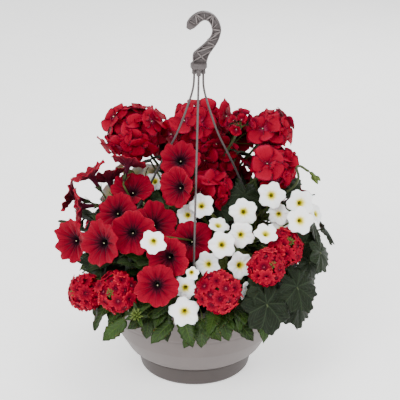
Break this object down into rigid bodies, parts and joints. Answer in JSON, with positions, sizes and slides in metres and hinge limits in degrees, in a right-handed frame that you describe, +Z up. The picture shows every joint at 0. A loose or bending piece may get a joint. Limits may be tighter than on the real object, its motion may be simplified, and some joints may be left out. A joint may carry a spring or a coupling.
{
  "type": "flowering hanging basket",
  "caption": "Plastic hanging bowl with a clip-on saucer and a hooked hanger, planted with red petunias, white calibrachoas, red verbenas and a crimson geranium.",
  "frame": {"origin": "the lowest point of the inside of the hook's crook, where it hangs on its support", "axes": "+Z up, -Y towards the front, where the lowest blooms are, and +X to the right seen from the front"},
  "size_m": [0.4092, 0.3933, 0.5223],
  "materials": {
    "bowl_plastic": "satin grey-brown moulded plastic",
    "saucer_plastic": "darker grey-brown moulded plastic",
    "hanger_plastic": "grey moulded plastic",
    "soil": "dark peat-based potting compost",
    "geranium_green": "dark green matt leaves",
    "petunia_green": "green matt leaves",
    "calibrachoa_green": "light green leaves",
    "verbena_green": "green toothed leaves",
    "petunia_bloom": "red petals with dark throats",
    "calibrachoa_bloom": "white petals with yellow throats",
    "verbena_bloom": "red petals with pale eyes",
    "geranium_bloom": "crimson petals"
  },
  "bodies": {
    "root": {"pot_bowl": "bowl_plastic", "drip_saucer": "saucer_plastic", "potting_soil": "soil", "hanger_hook": "hanger_plastic", "hanger_strand_front": "hanger_plastic", "hanger_strand_left": "hanger_plastic", "hanger_strand_right": "hanger_plastic", "petunia_spray_01": "petunia_bloom", "petunia_spray_02": "petunia_bloom", "petunia_spray_03": "petunia_bloom", "petunia_spray_04": "petunia_bloom", "petunia_spray_05": "petunia_bloom", "petunia_spray_06": "petunia_bloom", "petunia_spray_07": "petunia_bloom", "petunia_spray_08": "petunia_bloom", "petunia_spray_09": "petunia_bloom", "petunia_spray_10": "petunia_bloom", "petunia_spray_11": "petunia_bloom", "petunia_spray_12": "petunia_bloom", "petunia_spray_13": "petunia_bloom", "petunia_spray_14": "petunia_bloom", "calibrachoa_spray_01": "calibrachoa_bloom", "calibrachoa_spray_02": "calibrachoa_bloom", "calibrachoa_spray_03": "calibrachoa_bloom", "calibrachoa_spray_04": "calibrachoa_bloom", "calibrachoa_spray_05": "calibrachoa_bloom", "calibrachoa_spray_06": "calibrachoa_bloom", "calibrachoa_spray_07": "calibrachoa_bloom", "calibrachoa_spray_08": "calibrachoa_bloom", "calibrachoa_spray_09": "calibrachoa_bloom", "calibrachoa_spray_10": "calibrachoa_bloom", "calibrachoa_spray_11": "calibrachoa_bloom", "calibrachoa_spray_12": "calibrachoa_bloom", "calibrachoa_spray_13": "calibrachoa_bloom", "calibrachoa_spray_14": "calibrachoa_bloom", "calibrachoa_spray_15": "calibrachoa_bloom", "verbena_head_01": "verbena_bloom", "verbena_head_02": "verbena_bloom", "verbena_head_03": "verbena_bloom", "verbena_head_04": "verbena_bloom", "verbena_head_05": "verbena_bloom", "verbena_head_06": "verbena_bloom", "verbena_head_07": "verbena_bloom", "verbena_head_08": "verbena_bloom", "geranium_head_01": "geranium_bloom", "geranium_head_02": "geranium_bloom", "geranium_head_03": "geranium_bloom", "geranium_head_04": "geranium_bloom", "geranium_head_05": "geranium_bloom", "geranium_head_06": "geranium_bloom", "geranium_head_07": "geranium_bloom", "geranium_head_08": "geranium_bloom", "geranium_head_09": "geranium_bloom", "geranium_foliage": "geranium_green", "petunia_foliage_front": "petunia_green", "petunia_foliage_back": "petunia_green", "calibrachoa_foliage_front": "calibrachoa_green", "calibrachoa_foliage_back": "calibrachoa_green", "verbena_foliage_front": "verbena_green", "verbena_foliage_back": "verbena_green"}
  },
  "joints": []
}
